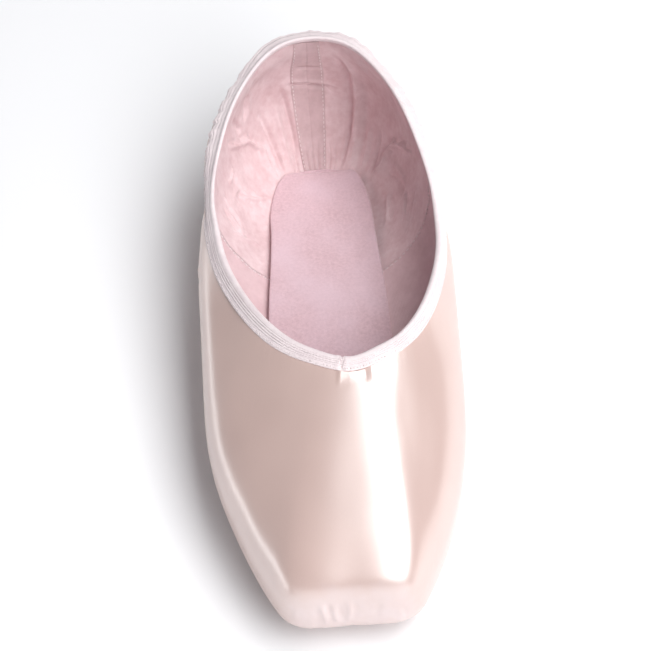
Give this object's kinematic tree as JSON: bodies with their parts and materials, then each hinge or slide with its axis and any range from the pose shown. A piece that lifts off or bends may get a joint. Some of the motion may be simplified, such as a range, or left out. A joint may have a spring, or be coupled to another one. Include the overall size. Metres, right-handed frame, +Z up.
{
  "type": "pointe shoe",
  "caption": "Satin pointe shoe with a pleated flat-tipped toe box, a gathered drawstring casing round the collar, a suede insole and a pared leather sole.",
  "frame": {"origin": "on the floor below the middle of the shoe's length and width", "axes": "+Y from toe to heel, +Z up, +X to the right seen from above with the toe pointing down the page"},
  "size_m": [0.089, 0.2351, 0.0584],
  "materials": {
    "satin": "pink satin with a soft directional gloss",
    "sole_leather": "bare tan leather, lightly buffed",
    "suede": "pink suede nap",
    "binding_cotton": "ribbed cotton tape",
    "lining_cotton": "matt woven cotton"
  },
  "bodies": {
    "root": {"upper": "satin", "outsole": "sole_leather", "insole": "suede", "collar_casing": "binding_cotton", "back_seam_tape": "lining_cotton"}
  },
  "joints": []
}
